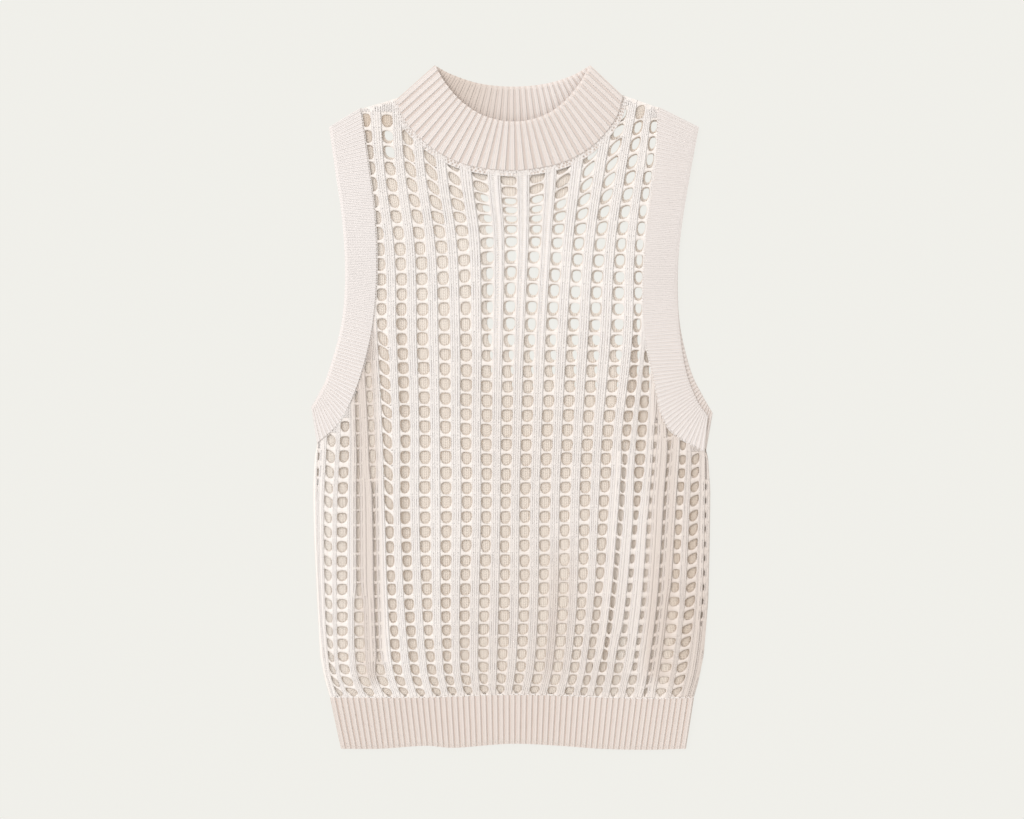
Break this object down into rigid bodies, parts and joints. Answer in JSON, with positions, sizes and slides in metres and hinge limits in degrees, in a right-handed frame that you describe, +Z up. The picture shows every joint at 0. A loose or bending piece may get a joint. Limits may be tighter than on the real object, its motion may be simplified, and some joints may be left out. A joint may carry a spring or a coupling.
{
  "type": "sleeveless open-knit pullover sweater",
  "caption": "Sleeveless pullover in an open net knit, with a ribbed mock neck, ribbed hem and fine-rib armbands, laid flat.",
  "frame": {"origin": "middle of the flat underside, centred on the garment's width and length", "axes": "+Z up from the surface it lies on, +Y from the hem towards the collar, +X towards the right of the front as seen from above"},
  "size_m": [0.3618, 0.6165, 0.0094],
  "materials": {
    "net_knit": "matt cream cotton yarn, open net knit",
    "rib_knit": "matt cream cotton yarn, rib knit",
    "fine_rib_knit": "matt cream cotton yarn, fine rib knit"
  },
  "bodies": {
    "root": {"front_panel": "net_knit", "back_panel": "net_knit", "collar_front": "rib_knit", "collar_back": "rib_knit", "hem_front": "rib_knit", "hem_back": "rib_knit", "armband_left_front": "fine_rib_knit", "armband_left_back": "fine_rib_knit", "armband_right_front": "fine_rib_knit", "armband_right_back": "fine_rib_knit"}
  },
  "joints": []
}
